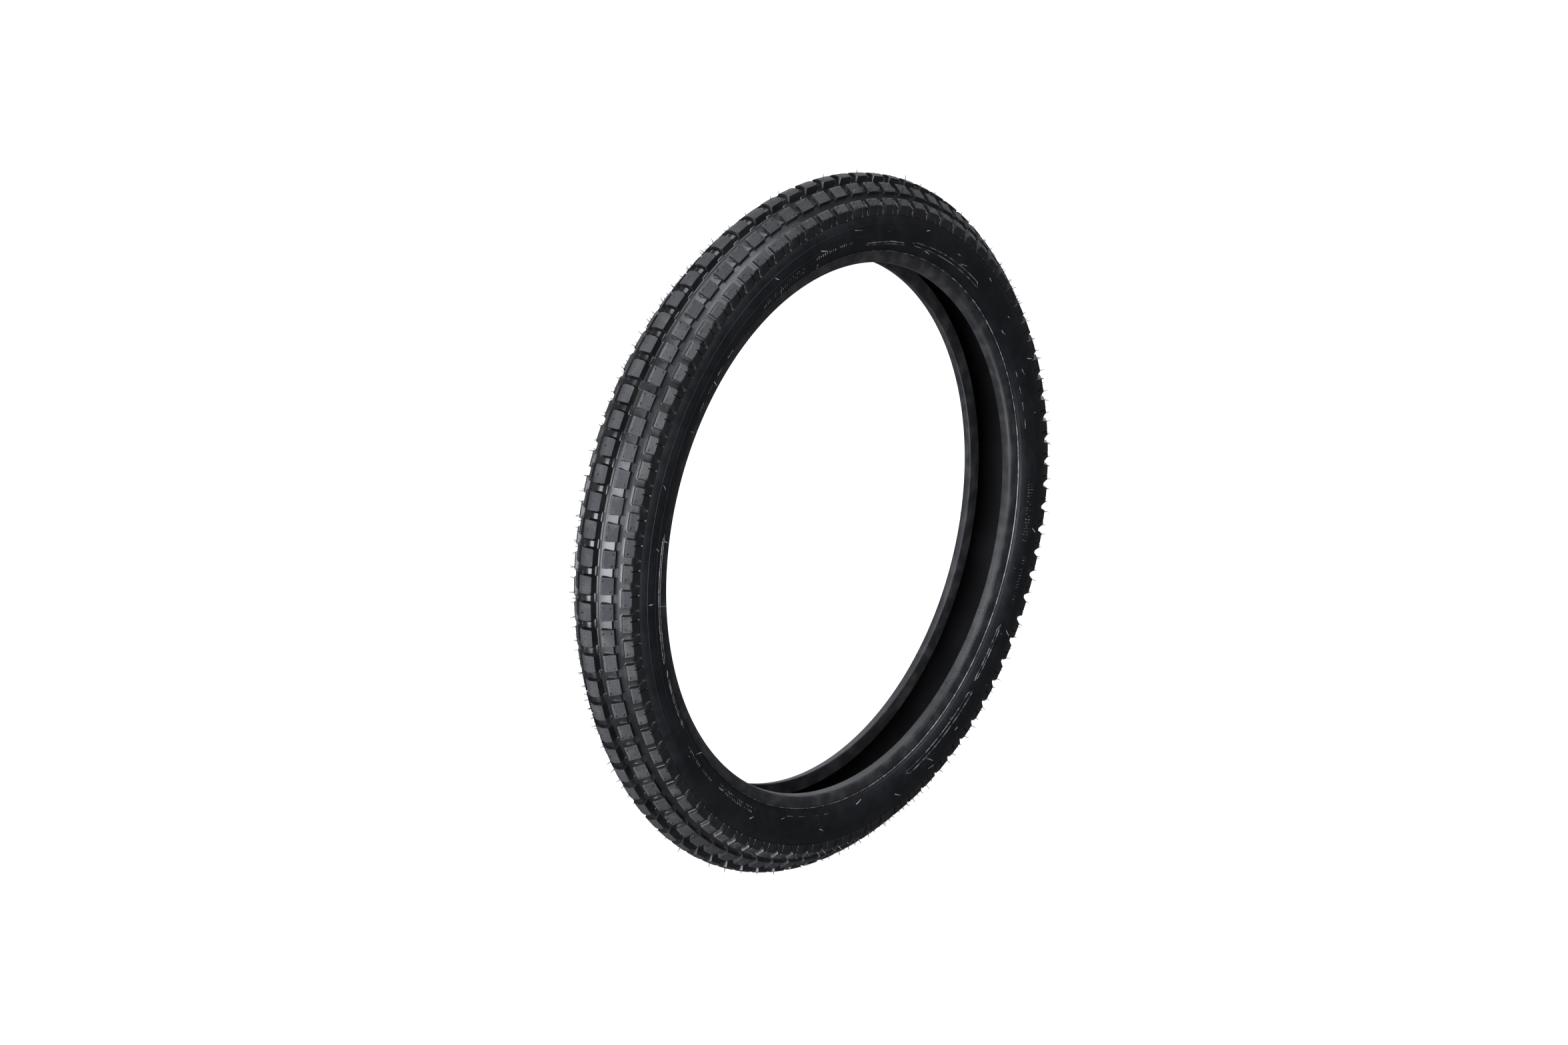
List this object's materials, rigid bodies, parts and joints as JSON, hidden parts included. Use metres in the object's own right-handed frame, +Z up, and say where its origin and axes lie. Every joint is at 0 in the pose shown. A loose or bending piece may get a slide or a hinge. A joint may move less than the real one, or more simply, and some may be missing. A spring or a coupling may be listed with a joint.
{
  "type": "motorcycle tyre",
  "caption": "Narrow bias-ply motorcycle tyre for a tube and an 18 inch rim, with five rows of square tread blocks, shown bare, off its wheel.",
  "frame": {"origin": "centre of the tyre, on the wheel axis midway between the two beads", "axes": "+Y along the wheel axis to the left sidewall, +Z up, +X forwards"},
  "size_m": [0.6002, 0.0706, 0.6002],
  "materials": {
    "tread_rubber": "matte",
    "sidewall_rubber": "satin",
    "liner_rubber": "matte",
    "gum": "matte",
    "ply_nylon": "matte",
    "chafer_fabric": "satin",
    "bead_wire": "polished"
  },
  "bodies": {
    "root": {"tread": "tread_rubber", "tread_cushion": "gum", "breaker_outer": "ply_nylon", "breaker_inner": "ply_nylon", "carcass_ply_outer": "ply_nylon", "carcass_ply_inner": "ply_nylon", "inner_liner": "liner_rubber", "sidewall_left": "sidewall_rubber", "bead_filler_left": "gum", "bead_wrap_left": "chafer_fabric", "chafer_left": "chafer_fabric", "bead_wire_left_1": "bead_wire", "bead_wire_left_2": "bead_wire", "bead_wire_left_3": "bead_wire", "sidewall_right": "sidewall_rubber", "bead_filler_right": "gum", "bead_wrap_right": "chafer_fabric", "chafer_right": "chafer_fabric", "bead_wire_right_1": "bead_wire", "bead_wire_right_2": "bead_wire", "bead_wire_right_3": "bead_wire"}
  },
  "joints": []
}
